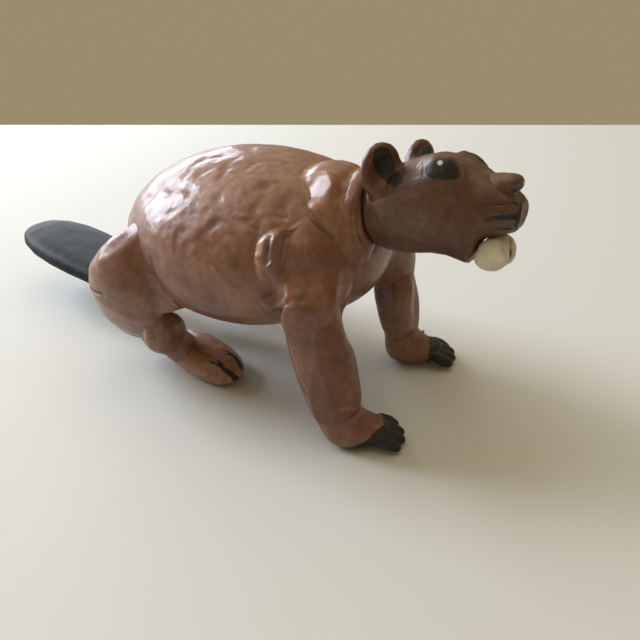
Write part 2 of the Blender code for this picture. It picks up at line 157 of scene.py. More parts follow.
# Spacing of each kind of piece's surface, and how far its facets are rounded off
KINDS = {
    "body_stone": (BROAD, 3.2 * MM), "tail_stone": (BROAD, 1.2 * MM), "tail_root": (FINE, 1.0 * MM),
    "neck_stone": (FINE, 1.3 * MM), "throat_stone": (FINE, 1.0 * MM), "head_stone": (FINE, 0.9 * MM),
    "nose_stone": (FINEST, 0.5 * MM), "ear": (FINEST, 0.5 * MM), "tooth": (FINEST, 0.6 * MM),
    "shoulder_stone": (FINE, 1.2 * MM), "foreleg_stone": (FINE, 1.0 * MM), "front_paw": (FINEST, 0.35 * MM),
    "hind_leg_stone": (FINE, 1.2 * MM), "ankle_stone": (FINE, 0.8 * MM), "hind_foot": (FINE, 1.0 * MM),
}


# Fields on a block of the frame's space
class Block:
    """Points on a regular grid that holds a box of space."""

    def __init__(self, low, high, step):
        self.step = step
        self.first = np.floor(np.array(low) / step).astype(int)
        self.shape = tuple(np.ceil(np.array(high) / step).astype(int) - self.first + 1)

    def points(self):
        """The x, y and z of the grid's points, each along its own axis."""
        return np.meshgrid(*[(self.first[k] + np.arange(self.shape[k])) * self.step for k in range(3)],
                           indexing="ij", sparse=True)


def transform(step):
    """Transform of a volume whose points lie a step apart."""
    return openvdb.createLinearTransform(voxelSize=step)


def blurred(field, sigma):
    """Blur of a field by about a Gaussian, from a few box blurs; sigma is in steps."""
    reach = max(1, round(math.sqrt(12 * sigma * sigma / BOXES + 1) / 2 - 0.5))
    width = 2 * reach + 1
    share = min(1.0, 12 * sigma * sigma / (BOXES * (width * width - 1)))
    for _ in range(BOXES):
        for axis in range(3):
            turned = np.moveaxis(field, axis, 0)
            count = len(turned)
            padded = np.concatenate((np.repeat(turned[:1], reach + 1, axis=0), turned,
                                     np.repeat(turned[-1:], reach, axis=0)))
            sums = np.cumsum(padded, axis=0, dtype=np.float32)
            mean = (sums[width:width + count] - sums[:count]) / np.float32(width)
            field = np.moveaxis(turned + np.float32(share) * (mean - turned), 0, axis)
    return np.ascontiguousarray(field)


def kind_of(node):
    """A node's name without its side."""
    return node.replace("right_", "").replace("left_", "")


def band_of(node):
    """How far a node's field reaches from its surface."""
    return WIDE_BAND if kind_of(node) in WIDE_KINDS else BAND


fields = {}


def field_of(node):
    """A node's field and its block, with the facets rounded off at the size of its kind."""
    if node not in fields:
        step, soften = KINDS[kind_of(node)]
        band = band_of(node)
        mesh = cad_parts[node].data
        mesh.calc_loop_triangles()
        points = np.empty(len(mesh.vertices) * 3, dtype=np.float32)
        mesh.vertices.foreach_get("co", points)
        corners = np.empty(len(mesh.loop_triangles) * 3, dtype=np.int32)
        mesh.loop_triangles.foreach_get("vertices", corners)
        volume = openvdb.FloatGrid.createLevelSetFromPolygons(
            points.reshape(-1, 3), triangles=corners.reshape(-1, 3).astype(np.uint32),
            transform=transform(step), halfWidth=band / step)
        low, high = (np.array(corner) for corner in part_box(node))
        low[2] -= ROOM_BELOW.get(kind_of(node), 0.0)
        block = Block(low - band, high + band, step)
        field = np.empty(block.shape, dtype=np.float32)
        volume.copyToArray(field, ijk=tuple(int(i) for i in block.first))
        soft = blurred(field, soften / step)
        fields[node] = 2 * soft - blurred(soft, soften / step), block
    return fields[node]


def on_block(field, block, target):
    """A field read on another block's points, axis by axis."""
    for axis in range(3):
        place = (target.first[axis] + np.arange(target.shape[axis])) * target.step / block.step
        place -= block.first[axis]
        place = np.clip(place, 0, block.shape[axis] - LAST_STEP)
        base = place.astype(int)
        part = (place - base).reshape([-1 if k == axis else 1 for k in range(3)])
        field = np.take(field, base, axis) * (1 - part) + np.take(field, base + 1, axis) * part
    return field


def smooth_least(a, b, width):
    """Least of two fields, with a fillet of the given width between them."""
    near = np.maximum(width - np.abs(a - b), 0) / width
    return np.minimum(a, b) - near * near * width / 4


def sample(field, block, points):
    """Field values at points, read straight between the grid's points."""
    place = points / block.step - block.first
    place = np.clip(place, 0, np.array(block.shape) - LAST_STEP)
    base = place.astype(int)
    part = place - base
    total = np.zeros(len(points))
    for corner in itertools.product((0, 1), repeat=3):
        weight = np.prod(np.where(corner, part, 1 - part), axis=1)
        i, j, k = (base + corner).T
        total += weight * field[i, j, k]
    return total


def slope(field, block, points):
    """Direction in which a field grows at points."""
    found = np.empty((len(points), 3))
    for axis in range(3):
        step = np.zeros(3)
        step[axis] = block.step
        found[:, axis] = sample(field, block, points + step) - sample(field, block, points - step)
    return found / np.maximum(np.linalg.norm(found, axis=1, keepdims=True), 1e-9)


def relaxed(points, quads, share):
    """Points moved part of the way to the middle of their neighbours."""
    total = np.zeros_like(points)
    count = np.zeros(len(points))
    for a, b in ((0, 1), (1, 2), (2, 3), (3, 0)):
        for here, there in ((quads[:, a], quads[:, b]), (quads[:, b], quads[:, a])):
            for axis in range(3):
                total[:, axis] += np.bincount(here, points[there, axis], len(points))
            count += np.bincount(here, minlength=len(points))
    return points + share * (total / count[:, None] - points)


def surface(field, block):
    """Points and quads of a field's zero surface."""
    volume = openvdb.FloatGrid(float(WIDE_BAND))
    volume.transform = transform(block.step)
    volume.copyFromArray(np.ascontiguousarray(field), ijk=tuple(int(i) for i in block.first))
    points, quads = volume.convertToQuads(0.0)
    points = points.astype(float)
    quads = quads.astype(int)
    for _ in range(EVEN_ROUNDS):
        points = relaxed(points, quads, EVEN_SHARE)
        points -= slope(field, block, points) * sample(field, block, points)[:, None]
    return points, quads


def normals(points, quads):
    """Outward direction at each point of a mesh."""
    across = points[quads[:, 2]] - points[quads[:, 0]]
    along = points[quads[:, 3]] - points[quads[:, 1]]
    faces = np.cross(across, along)
    total = np.zeros_like(points)
    for corner in range(4):
        for axis in range(3):
            total[:, axis] += np.bincount(quads[:, corner], faces[:, axis], len(points))
    return total / np.maximum(np.linalg.norm(total, axis=1, keepdims=True), 1e-30)


# Noise
LATTICE_SEED = 11
LATTICE_SIZE = 24
NOISE_GAIN = 1.5
LATTICE = np.random.default_rng(LATTICE_SEED).normal(size=(LATTICE_SIZE, LATTICE_SIZE, LATTICE_SIZE, 3))
LATTICE /= np.linalg.norm(LATTICE, axis=3, keepdims=True)


def noise(points, size, seed=0.0):
    """Smooth noise from about -1 to 1, whose lumps have the given size."""
    place = points / size + seed
    base = np.floor(place).astype(int)
    part = place - base
    ease = part ** 3 * (part * (part * 6 - 15) + 10)
    total = np.zeros(len(points))
    for corner in itertools.product((0, 1), repeat=3):
        i, j, k = ((base + corner) % LATTICE_SIZE).T
        weight = np.prod(np.where(corner, ease, 1 - ease), axis=1)
        total += weight * ((part - corner) * LATTICE[i, j, k]).sum(axis=1)
    return total * NOISE_GAIN


def bumps(points, height, size, seed=0.0):
    """Noise of the given height."""
    return height * noise(points, size, seed)


def stretched(points, along, factor):
    """Points squeezed along a direction, so that noise on them is drawn out along it."""
    along = np.array(along) / np.linalg.norm(along)
    return points - np.outer(points @ along, along) * (1 - 1 / factor)


def step_up(values, low, high):
    """Smooth step from 0 below low to 1 above high."""
    share = np.clip((values - low) / (high - low), 0, 1)
    return share * share * (3 - 2 * share)


# Pieces
shapes = {}
cad_corners = [np.array(corner) for corner in cad_bounds]


def placed(name, data):
    """A new object of some data, in the scene."""
    made = bpy.data.objects.new(name, data)
    bpy.context.collection.objects.link(made)
    return made


class Shape:
    """One piece's surface while it is worked on."""

    def __init__(self, node, points, quads):
        self.node = node
        self.points = points
        self.quads = quads
        self.black = np.full(len(points), FAR_OFF)
        self.cream = np.full(len(points), FAR_OFF)
        # What the paint reads: black and cream distances, painted shade, tone, and painted sheen and
        # highlights
        self.wash = np.zeros(len(points))
        self.tone = np.ones(len(points))
        self.pale = np.zeros(len(points))
        self.height = np.zeros(len(points))
        self.normals = normals(points, quads)
        self.tree = None

    def hit(self, start, direction):
        """Place where a line of sight meets the surface, and how far off it is."""
        if self.tree is None:
            self.tree = BVHTree.FromPolygons(self.points.tolist(), self.quads.tolist())
        place, _, _, away = self.tree.ray_cast(start, direction)
        return place, away

    def move(self, ways):
        """Move the points, each its own way."""
        self.points = self.points + ways
        self.normals = normals(self.points, self.quads)
        self.tree = None

    def shift(self):
        """Move the surface out or in by the heights gathered on it, and no further than the CAD box."""
        self.points = self.points + self.normals * self.height[:, None]
        self.points = np.clip(self.points, *cad_corners)


def grown(node, putty=(), swollen=None, lumps=()):
    """A node's stone with its facets gone, and putty drawn onto the stones that carry it.

    putty gives each carrier, the width of the fillet at the stone's back and front, and how far
    the putty covers the carrier. swollen, if given, is called with the points of the block and
    says how far the stone grows there. lumps are middles and radii of round lumps pressed onto it.
    """
    own, block = field_of(node)
    if swollen:
        own = own - swollen(*block.points())
    for middle, radii in lumps:
        apart = [(place - middle[k]) / radii[k] for k, place in enumerate(block.points())]
        far = np.sqrt(apart[0] ** 2 + apart[1] ** 2 + apart[2] ** 2)
        own = smooth_least(own, (far - 1) * min(radii), LUMP_FILLET)
    field = own
    low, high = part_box(node)
    middle = (low[0] + high[0]) / 2
    front = step_up(block.points()[0], middle - FRONT_BLEND, middle + FRONT_BLEND)
    carriers = [(on_block(*field_of(carrier), block), *rest) for carrier, *rest in putty]
    for other, behind, ahead, cover in carriers:
        under = PUTTY_DEPTH + PUTTY_FALL * np.maximum(own - cover, 0)
        field = smooth_least(field, other + under, behind + (ahead - behind) * front)
    if carriers:
        field = np.maximum(field, own - band_of(node) + BAND_MARGIN)
        for other, *_ in carriers:
            field = np.maximum(field, -(other + CLIP_DEPTH))
        field = blurred(field, PUTTY_BLUR)
    field = np.maximum(field, -block.points()[2])
    points, quads = surface(field, block)
    shapes[node] = Shape(node, points, quads)


def finished(shape, material, slot):
    """Make the object of a finished shape, in place of its CAD node."""
    shape.shift()
    mesh = bpy.data.meshes.new(shape.node + "_finished")
    mesh.from_pydata(shape.points.tolist(), [], shape.quads.tolist())
    for name, scale in LAYERS.items():
        layer = mesh.attributes.new(name, "FLOAT", "POINT")
        layer.data.foreach_set("value", (getattr(shape, name) * scale).astype(np.float32))
    mesh.shade_smooth()
    mesh.materials.append(material)
    made = placed(mesh.name, mesh)
    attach(made, "root")
    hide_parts(shape.node)


# Camera
low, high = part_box("body_stone")
body_middle = (Vector(low) + Vector(high)) / 2
camera_at = body_middle + Vector(CAMERA_FROM_BODY)
camera_data = bpy.data.cameras.new("camera")
camera_data.sensor_width = SENSOR
camera_data.lens = LENS
camera = placed("camera", camera_data)
camera.location = camera_at
camera.rotation_euler = CAMERA_TURN
bpy.context.scene.camera = camera
focal = LENS / SENSOR * IMAGE
camera_axes = Euler(CAMERA_TURN).to_matrix()


def way_to(azimuth, elevation):
    """Direction at an azimuth and elevation in degrees."""
    azimuth, elevation = math.radians(azimuth), math.radians(elevation)
    return Vector((math.cos(azimuth) * math.cos(elevation), math.sin(azimuth) * math.cos(elevation),
                   math.sin(elevation)))


def sight(x, y):
    """Direction from the camera through a pixel of the photo."""
    return (camera_axes @ Vector((x - IMAGE / 2, IMAGE / 2 - y, -focal))).normalized()


def seen(nodes, x, y):
    """Point where a pixel of the photo falls on some pieces, or the one nearest to its line of sight."""
    direction = sight(x, y)
    hits = [shapes[node].hit(camera_at, direction) for node in nodes]
    hits = [(away, place) for place, away in hits if place is not None]
    if hits:
        return np.array(min(hits, key=lambda hit: hit[0])[1])
    every = np.concatenate([shapes[node].points for node in nodes])
    beside = np.linalg.norm(np.cross(every - np.array(camera_at), np.array(direction)), axis=1)
    return every[beside.argmin()]


def from_line(points, line):
    """Distance from a line of points, and the share along it of the nearest place."""
    line = np.array(line)
    best = np.full(len(points), np.inf)
    along = np.zeros(len(points))
    spans = len(line) - 1
    for k in range(spans):
        run = line[k + 1] - line[k]
        share = np.clip((points - line[k]) @ run / (run @ run), 0, 1)
        away = np.linalg.norm(points - line[k] - share[:, None] * run, axis=1)
        nearer = away < best
        best[nearer] = away[nearer]
        along[nearer] = (k + share[nearer]) / spans
    return best, along


# Materials: the varnish's weight and roughness, the black paint's roughness as a grey, the colours
COAT = 0.30
COAT_ROUGHNESS = 0.12
BLACK_ROUGHNESS = (0.55, 0.55, 0.55)
BROWN = (0.210, 0.082, 0.043)
BROWN_RED = (0.172, 0.054, 0.028)
BROWN_TAN = (0.272, 0.132, 0.073)
# The paler brown of painted sheen and painted highlights
SHEEN_BROWN = (0.33, 0.195, 0.118)
# The colour of painted shade in grooves, gaps and pits
SHADE_COLOUR = (0.045, 0.020, 0.013)
BLACK_PAINT = (0.012, 0.012, 0.011)
EYE_LIGHT = (0.60, 0.56, 0.46)
# The bare stones' colours, how much they mirror, their noise's detail, how much finer their specks
# are and the specks' detail, the places of the two colours and how far the roughness goes each way
SLATE_DARK = (0.012, 0.0145, 0.015)
SLATE_LIGHT = (0.028, 0.032, 0.033)
CREAM_DARK = (0.62, 0.56, 0.43)
CREAM_LIGHT = (0.80, 0.75, 0.62)
STONE_SPECULAR = 0.09
STONE_DETAIL = 5
SPECKS_FINER = 14
SPECKS_DETAIL = 3
STONE_STOPS = (0.35, 0.68)
STONE_ROUGHNESS_SPREAD = 0.1
# Noise in the brown paint: scale, detail, roughness and stretch, with the share of the streaks, of
# the raggedness in the black's edge and of the brushed grain
PATCHES = (55, 4)
MOTTLE = (420, 5, 0.6)
STREAKS = (160, 3, 0.6, (1.0, 1.0, 0.25))
STREAKS_SHARE = 0.6
RAGGED = (900, 2)
RAGGED_SHARE = 0.8
DULLED = (240, 4)
GRAIN = (900, 5, 0.65)
BRUSHED = (420, 4, 0.6, (0.3, 1.0, 1.0))
GRAIN_SHARE = 0.5
# What the noise and the distances to black paint and cream dots turn into
PATCHES_RAMP = ((0.35, BROWN_RED), (0.5, BROWN), (0.68, BROWN_TAN))
MOTTLE_RAMP = ((0.3, 0.72), (0.7, 1.22))
STREAKS_RAMP = ((0.35, 0.8), (0.65, 1.15))
DULLED_RAMP = ((0.3, 0.36), (0.7, 0.58))
BLACK_RAMP = ((0.36, 1.0), (0.50, 0.0))
DOT_RAMP = ((0.0, 1.0), (0.10, 0.0))
# Relief of the paint and of the bare stones: its strength and distance
PAINT_BUMP = (0.55, 0.3 * MM)
STONE_BUMP = (0.3, 0.2 * MM)


def principled(name):
    """A new material with its shader."""
    material = bpy.data.materials.new(name)
    material.use_nodes = True
    return material, material.node_tree.nodes["Principled BSDF"]


def links(material, *pairs):
    """Link sockets of a material, from the first of each pair to the second."""
    for source, target in pairs:
        material.node_tree.links.new(source, target)


def painted_brown():
    """Brown paint brushed on the stones and varnished, with black paint, cream dots, painted shade and
    sheen.
    """
    material, shader = principled("painted_brown")
    nodes = material.node_tree.nodes
    shader.inputs["Coat Roughness"].default_value = COAT_ROUGHNESS
    where = nodes.new("ShaderNodeTexCoord").outputs["Object"]

    def clouds(scale, detail, roughness=0.5, stretch=None):
        """Noise over the piece."""
        texture = nodes.new("ShaderNodeTexNoise")
        texture.inputs["Scale"].default_value = scale
        texture.inputs["Detail"].default_value = detail
        texture.inputs["Roughness"].default_value = roughness
        if stretch:
            mapping = nodes.new("ShaderNodeMapping")
            mapping.inputs["Scale"].default_value = stretch
            links(material, (where, mapping.inputs["Vector"]),
                  (mapping.outputs["Vector"], texture.inputs["Vector"]))
        else:
            links(material, (where, texture.inputs["Vector"]))
        return texture.outputs["Fac"]

    def ramp(source, *stops):
        """What a value turns into, between stops that have a place and a colour or a grey."""
        made = nodes.new("ShaderNodeValToRGB")
        while len(made.color_ramp.elements) < len(stops):
            made.color_ramp.elements.new(0.5)
        for element, (place, colour) in zip(made.color_ramp.elements, stops):
            element.position = place
            element.color = (*colour, 1.0) if isinstance(colour, tuple) else (colour, colour, colour, 1.0)
        links(material, (source, made.inputs["Fac"]))
        return made.outputs["Color"]

    def blend(kind, share, first, second):
        """Two colours blended by a share; each of the three is a value or a socket."""
        made = nodes.new("ShaderNodeMix")
        made.data_type = "RGBA"
        made.blend_type = kind
        for value, socket in ((share, made.inputs[0]), (first, made.inputs[6]), (second, made.inputs[7])):
            if isinstance(value, float):
                socket.default_value = value
            elif isinstance(value, tuple):
                socket.default_value = (*value, 1.0)
            else:
                links(material, (value, socket))
        return made.outputs[2]

    def amount(name):
        """What the mesh says at each of its points."""
        made = nodes.new("ShaderNodeAttribute")
        made.attribute_name = name
        return made.outputs["Fac"]

    patches = ramp(clouds(*PATCHES), *PATCHES_RAMP)
    mottle = ramp(clouds(*MOTTLE), *MOTTLE_RAMP)
    colour = blend("MULTIPLY", 1.0, patches, mottle)
    streaks = ramp(clouds(*STREAKS), *STREAKS_RAMP)
    colour = blend("MULTIPLY", STREAKS_SHARE, colour, streaks)
    # Painted sheen and painted highlights: a paler brown mixed in
    colour = blend("MIX", amount("pale"), colour, blend("MULTIPLY", 1.0, SHEEN_BROWN, mottle))
    # Lighter or darker per piece and place: the paint's own tone, with painted highlights and painted light
    colour = blend("MULTIPLY", 1.0, colour, amount("tone"))
    # Painted shade in grooves, creases, gaps and pits
    colour = blend("MIX", amount("wash"), colour, SHADE_COLOUR)
    edge = nodes.new("ShaderNodeMath")
    edge.operation = "MULTIPLY_ADD"
    edge.inputs[1].default_value = RAGGED_SHARE
    links(material, (clouds(*RAGGED), edge.inputs[0]), (amount("black"), edge.inputs[2]))
    paint = ramp(edge.outputs[0], *BLACK_RAMP)
    colour = blend("MIX", paint, colour, BLACK_PAINT)
    dot = ramp(amount("cream"), *DOT_RAMP)
    colour = blend("MIX", dot, colour, EYE_LIGHT)
    links(material, (colour, shader.inputs["Base Color"]))
    rough = blend("MIX", paint, ramp(clouds(*DULLED), *DULLED_RAMP), BLACK_ROUGHNESS)
    links(material, (rough, shader.inputs["Roughness"]))
    varnish = blend("MULTIPLY", 1.0, ramp(paint, (0.0, COAT), (1.0, 0.0)), amount("tone"))
    links(material, (varnish, shader.inputs["Coat Weight"]))
    grain = blend("MIX", GRAIN_SHARE, clouds(*GRAIN), clouds(*BRUSHED))
    bump = nodes.new("ShaderNodeBump")
    bump.inputs["Strength"].default_value, bump.inputs["Distance"].default_value = PAINT_BUMP
    links(material, (grain, bump.inputs["Height"]), (bump.outputs["Normal"], shader.inputs["Normal"]))
    return material


def bare_stone(name, dark, light, roughness, scale, specks):
    """Unpainted river pebble with fine specks and painted shade in its grooves and gaps."""
    material, shader = principled(name)
    nodes = material.node_tree.nodes
    shader.inputs["Specular IOR Level"].default_value = STONE_SPECULAR
    where = nodes.new("ShaderNodeTexCoord").outputs["Object"]
    broad = nodes.new("ShaderNodeTexNoise")
    broad.inputs["Scale"].default_value = scale
    broad.inputs["Detail"].default_value = STONE_DETAIL
    fine = nodes.new("ShaderNodeTexNoise")
    fine.inputs["Scale"].default_value = scale * SPECKS_FINER
    fine.inputs["Detail"].default_value = SPECKS_DETAIL
    ramp = nodes.new("ShaderNodeValToRGB")
    for element, place, colour in zip(ramp.color_ramp.elements, STONE_STOPS, (dark, light)):
        element.position = place
        element.color = (*colour, 1.0)
    grain = nodes.new("ShaderNodeMix")
    grain.data_type = "RGBA"
    grain.blend_type = "OVERLAY"
    grain.inputs[0].default_value = specks
    # Painted shade in grooves and gaps, read from the mesh
    wash = nodes.new("ShaderNodeAttribute")
    wash.attribute_name = "wash"
    shade_mix = nodes.new("ShaderNodeMix")
    shade_mix.data_type = "RGBA"
    shade_mix.inputs[7].default_value = (*SHADE_COLOUR, 1.0)
    rough = nodes.new("ShaderNodeMapRange")
    rough.inputs["To Min"].default_value = roughness - STONE_ROUGHNESS_SPREAD
    rough.inputs["To Max"].default_value = roughness + STONE_ROUGHNESS_SPREAD
    bump = nodes.new("ShaderNodeBump")
    bump.inputs["Strength"].default_value, bump.inputs["Distance"].default_value = STONE_BUMP
    links(material, (where, broad.inputs["Vector"]), (where, fine.inputs["Vector"]),
          (broad.outputs["Fac"], ramp.inputs["Fac"]), (ramp.outputs["Color"], grain.inputs[6]),
          (fine.outputs["Color"], grain.inputs[7]), (grain.outputs[2], shade_mix.inputs[6]),
          (wash.outputs["Fac"], shade_mix.inputs[0]), (shade_mix.outputs[2], shader.inputs["Base Color"]),
          (fine.outputs["Fac"], rough.inputs["Value"]),
          (rough.outputs["Result"], shader.inputs["Roughness"]),
          (fine.outputs["Fac"], bump.inputs["Height"]), (bump.outputs["Normal"], shader.inputs["Normal"]))
    return material


brown = painted_brown()
slate = bare_stone("dark_slate", SLATE_DARK, SLATE_LIGHT, roughness=0.50, scale=130, specks=0.25)
cream = bare_stone("cream_pebble", CREAM_DARK, CREAM_LIGHT, roughness=0.45, scale=160, specks=0.2)

# Each kind's putty in mm: its carriers, the fillet's width at the back and front, and what it covers
PUTTY = {
    "body_stone": (),
    "tail_stone": (),
    "tail_root": (("body_stone", 4.0, 4.0, 1.3), ("tail_stone", 2.5, 2.5, 1.3)),
    "neck_stone": (("body_stone", 2.0, 4.0, 1.3), ("throat_stone", 2.0, 2.0, 1.0)),
    "throat_stone": (("body_stone", 4.5, 4.5, 2.0),),
    "head_stone": (),
    "nose_stone": (("head_stone", 3.5, 1.5, 1.2),),
    "ear": (("head_stone", 2.8, 2.8, 1.0),),
    "tooth": (),
    "shoulder_stone": (("body_stone", 1.5, 15.0, 5.0), ("foreleg_stone", 3.0, 12.0, 3.5)),
    "foreleg_stone": (("body_stone", 7.0, 15.0, 5.0),),
    "front_paw": (("foreleg_stone", 8.5, 8.5, 2.8),),
    "hind_leg_stone": (("body_stone", 2.5, 4.0, 1.3),),
    "ankle_stone": (("hind_leg_stone", 4.0, 8.0, 2.5), ("hind_foot", 6.0, 8.0, 2.5)),
    "hind_foot": (),
}


def on_side(kind, side):
    """The node of a kind on a side, or the only one of that kind."""
    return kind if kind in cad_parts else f"{side}_{kind}"


def claws_swollen(paw):
    """How far the claws fill out, ahead of a place on the paw."""
    low, high = (np.array(corner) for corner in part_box(paw))
    middle = (low + high) / 2

    def swollen(x, y, z):
        ahead = (x - middle[0]) * math.cos(PAW_HEADING) + (y - middle[1]) * math.sin(PAW_HEADING)
        return CLAW_SWELL * step_up(ahead, CLAW_FROM - CLAW_BLEND, CLAW_FROM + CLAW_BLEND)
    return swollen


# Lumps pressed onto a piece: the piece and pixel where their place is seen, and in mm their radii and
# how far behind that place they lie, so that a negative one lies in front of it
PRESSED_LUMPS = {
    "right_shoulder_stone": (("body_stone", (273, 303), (3.7, 2.6, 2.5), -0.8),),
    "right_hind_leg_stone": (("body_stone", (163, 300), (4.6, 4.0, 5.4), -1.0),),
}
for kind, putty in PUTTY.items():
    for side in SIDES:
        node = on_side(kind, side)
        if node not in shapes:
            swollen = claws_swollen(node) if kind == "front_paw" else None
            lumps = []
            for on, (x, y), radii, behind in PRESSED_LUMPS.get(node, ()):
                middle = seen((on,), x, y) + np.array(sight(x, y)) * behind * MM
                lumps.append((middle, np.array(radii) * MM))
            carriers = [(on_side(carrier, side), *(size * MM for size in sizes))
                        for carrier, *sizes in putty]
            grown(node, carriers, swollen, lumps)

# Shoulders: their upper front hugs the body
body_field, body_block = field_of("body_stone")
for side in SIDES:
    shape = shapes[side + "_shoulder_stone"]
    low, high = (np.array(corner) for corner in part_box(shape.node))
    share = (shape.points - low) / (high - low)
    mask = step_up(share[:, 0], *HUG_FRONT) * step_up(share[:, 2], *HUG_TOP)
    proud = np.maximum(sample(body_field, body_block, shape.points), 0)
    shape.move(-slope(body_field, body_block, shape.points) * (proud * mask * HUG)[:, None])

# Lumps of the stones: their height in mm on each kind and on the others, then the share of it, size
# and seed of each noise, and the height, size and seed of the paint's grain
LUMPS = {
    "body_stone": 0.05, "tail_stone": 0.05, "nose_stone": 0.04,
    "ear": 0.06, "tooth": 0.03, "front_paw": 0.10,
}
OTHER_LUMPS = 0.09
LUMP_NOISES = ((1.0, 6 * MM, 0.0), (0.5, 2.2 * MM, 4.0))
PAINT_GRAIN = (0.02 * MM, 0.9 * MM, 8.0)
for node, shape in shapes.items():
    tall = LUMPS.get(kind_of(node), OTHER_LUMPS) * MM
    for share, size, seed in LUMP_NOISES:
        shape.height += bumps(shape.points, share * tall, size, seed)
    shape.height += bumps(shape.points, *PAINT_GRAIN)

# How light the paint is on each kind of piece and on the others, and the share of paler brown in it,
# which is painted sheen. The head's darker tone is its own paint; the hind foot's lighter tone is
# partly painted sheen.
TONES = {
    "body_stone": (1.0, 0.28), "neck_stone": (1.0, 0.25), "throat_stone": (0.9, 0.0),
    "head_stone": (0.47, 0.0), "ear": (0.55, 0.0), "nose_stone": (0.55, 0.0),
    "shoulder_stone": (0.85, 0.05), "foreleg_stone": (0.80, 0.0), "front_paw": (0.9, 0.12),
    "hind_leg_stone": (0.92, 0.2), "ankle_stone": (0.95, 0.25), "hind_foot": (1.15, 0.35),
}
OTHER_TONES = (1.0, 0.0)
for node, shape in shapes.items():
    tone, pale = TONES.get(kind_of(node), OTHER_TONES)
    shape.tone *= tone
    shape.pale += pale

# Body: lighter and paler from the belly up, over a stretch of its height, as painted light and painted
# sheen from above
BODY_LIGHTER = (28 * MM, 55 * MM)
BELLY_TONE = 0.85
# It is roughest around one pixel of the photo, and a share as rough past a distance from there
ROUGHEST_AT = (222, 190)
ROUGH_REACH = (13 * MM, 31 * MM)
ROUGH_ELSEWHERE = 0.25
# Lumps on it that are drawn out down its side, small lumps, grain and swells: height, size and seed
BODY_DRAWN_ALONG = (-0.35, -0.5, -0.8)
BODY_DRAWN = 1.5
BODY_LUMPS = (0.26 * MM, 8.0 * MM)
BODY_SMALL_LUMPS = (0.091 * MM, 4.0 * MM, 7.3)
BODY_GRAIN = (0.10 * MM, 2.0 * MM, 1.5)
BODY_FINE_GRAIN = (0.05 * MM, 1.1 * MM, 5.5)
BODY_SWELLS = (0.12 * MM, 13 * MM, 2.2)
# Pits in it: size and seed of their noise, the stretch of it that makes their sides, depth and painted
# shade
PIT_NOISE = (6.0 * MM, 3.1)
PIT_SIDES = (0.0, 0.65)
PIT_DEPTH = 0.58 * MM
PIT_SHADE = 0.35
body = shapes["body_stone"]
p = body.points
upper = step_up(p[:, 2], *BODY_LIGHTER)
body.pale *= upper
body.tone *= BELLY_TONE + (1 - BELLY_TONE) * upper
drawn = stretched(p, BODY_DRAWN_ALONG, BODY_DRAWN)
away = np.linalg.norm(p - seen(("body_stone",), *ROUGHEST_AT), axis=1)
rough = ROUGH_ELSEWHERE + (1 - ROUGH_ELSEWHERE) * (1 - step_up(away, *ROUGH_REACH))
pits = step_up(noise(p, *PIT_NOISE), *PIT_SIDES)
body.height += rough * (bumps(drawn, *BODY_LUMPS) + bumps(p, *BODY_SMALL_LUMPS) - PIT_DEPTH * pits)
body.height += rough * (bumps(p, *BODY_GRAIN) + bumps(p, *BODY_FINE_GRAIN)) + bumps(p, *BODY_SWELLS)
# Painted shade in the pits
body.wash = rough * pits * PIT_SHADE

# Flattened bands and patches that mirror the window: pixels along each, its radius in mm, the share
# of it that is flat, its lift in mm and how strongly it is flattened. FACET_MOST is how far they may
# move a point, FACET_FACING how squarely a place has to face their way, and FACET_SMOOTHED the share
# of the lumps that they take away.
FACET_MOST = 2.2 * MM
FACET_FACING = (0.1, 0.4)
FACET_SMOOTHED = 0.8
FACETS = (
    ("right_hind_leg_stone", ((132, 233), (118, 245), (100, 262)), 4.0, 0.0, 0.1, 0.5),
    ("neck_stone", ((309, 189), (322, 184), (338, 182)), 6.8, 0.35, 0.35, 0.85),
    ("right_shoulder_stone", ((277, 237), (275, 257), (271, 277)), 2.4, 0.35, 0.45, 0.9),
    ("right_shoulder_stone", ((262, 243), (260, 262)), 2.0, 0.3, 0.3, 0.9),
    ("head_stone", ((421, 164), (417, 176)), 1.0, 0.3, 0.1, 0.9),
    ("head_stone", ((365, 190), (364, 206)), 1.2, 0.3, 0.15, 0.9),
    ("left_ear", ((410, 151), (406, 157)), 0.9, 0.3, 0.1, 0.9),
)
window_way = way_to(*LIGHTS["window"][:2])
for node, pixels, radius, core, lift, strength in FACETS:
    shape = shapes[node]
    line = np.array([seen((node,), x, y) for x, y in pixels])
    to_camera = (camera_at - Vector(line.mean(axis=0))).normalized()
    mirror = np.array((to_camera + window_way).normalized())
    line -= np.outer((line - line.mean(axis=0)) @ mirror, mirror)
    away, along = from_line(shape.points, line)
    place = along * (len(line) - 1)
    base = np.minimum(place.astype(int), len(line) - 2)
    nearest = line[base] + (place - base)[:, None] * (line[base + 1] - line[base])
    over = ((shape.points - nearest) @ mirror) - lift * MM
    share = 1 - step_up(away, core * radius * MM, radius * MM)
    share *= strength * step_up(shape.normals @ mirror, *FACET_FACING)
    shape.height *= 1 - FACET_SMOOTHED * share
    shape.move(-np.outer(share * np.clip(over, -FACET_MOST, FACET_MOST), mirror))

# Pieces that are marked or brushed
HEAD = ("head_stone",)
EAR = ("right_ear", "head_stone")
THROAT = ("throat_stone",)
BODY = ("body_stone",)
SHOULDER = ("right_shoulder_stone",)
ARM = ("right_shoulder_stone", "right_foreleg_stone")
THIGH = ("right_hind_leg_stone",)
ANKLE = ("right_ankle_stone",)
HIND_FOOT = ("right_hind_foot",)
FAR_ARM = ("left_foreleg_stone",)
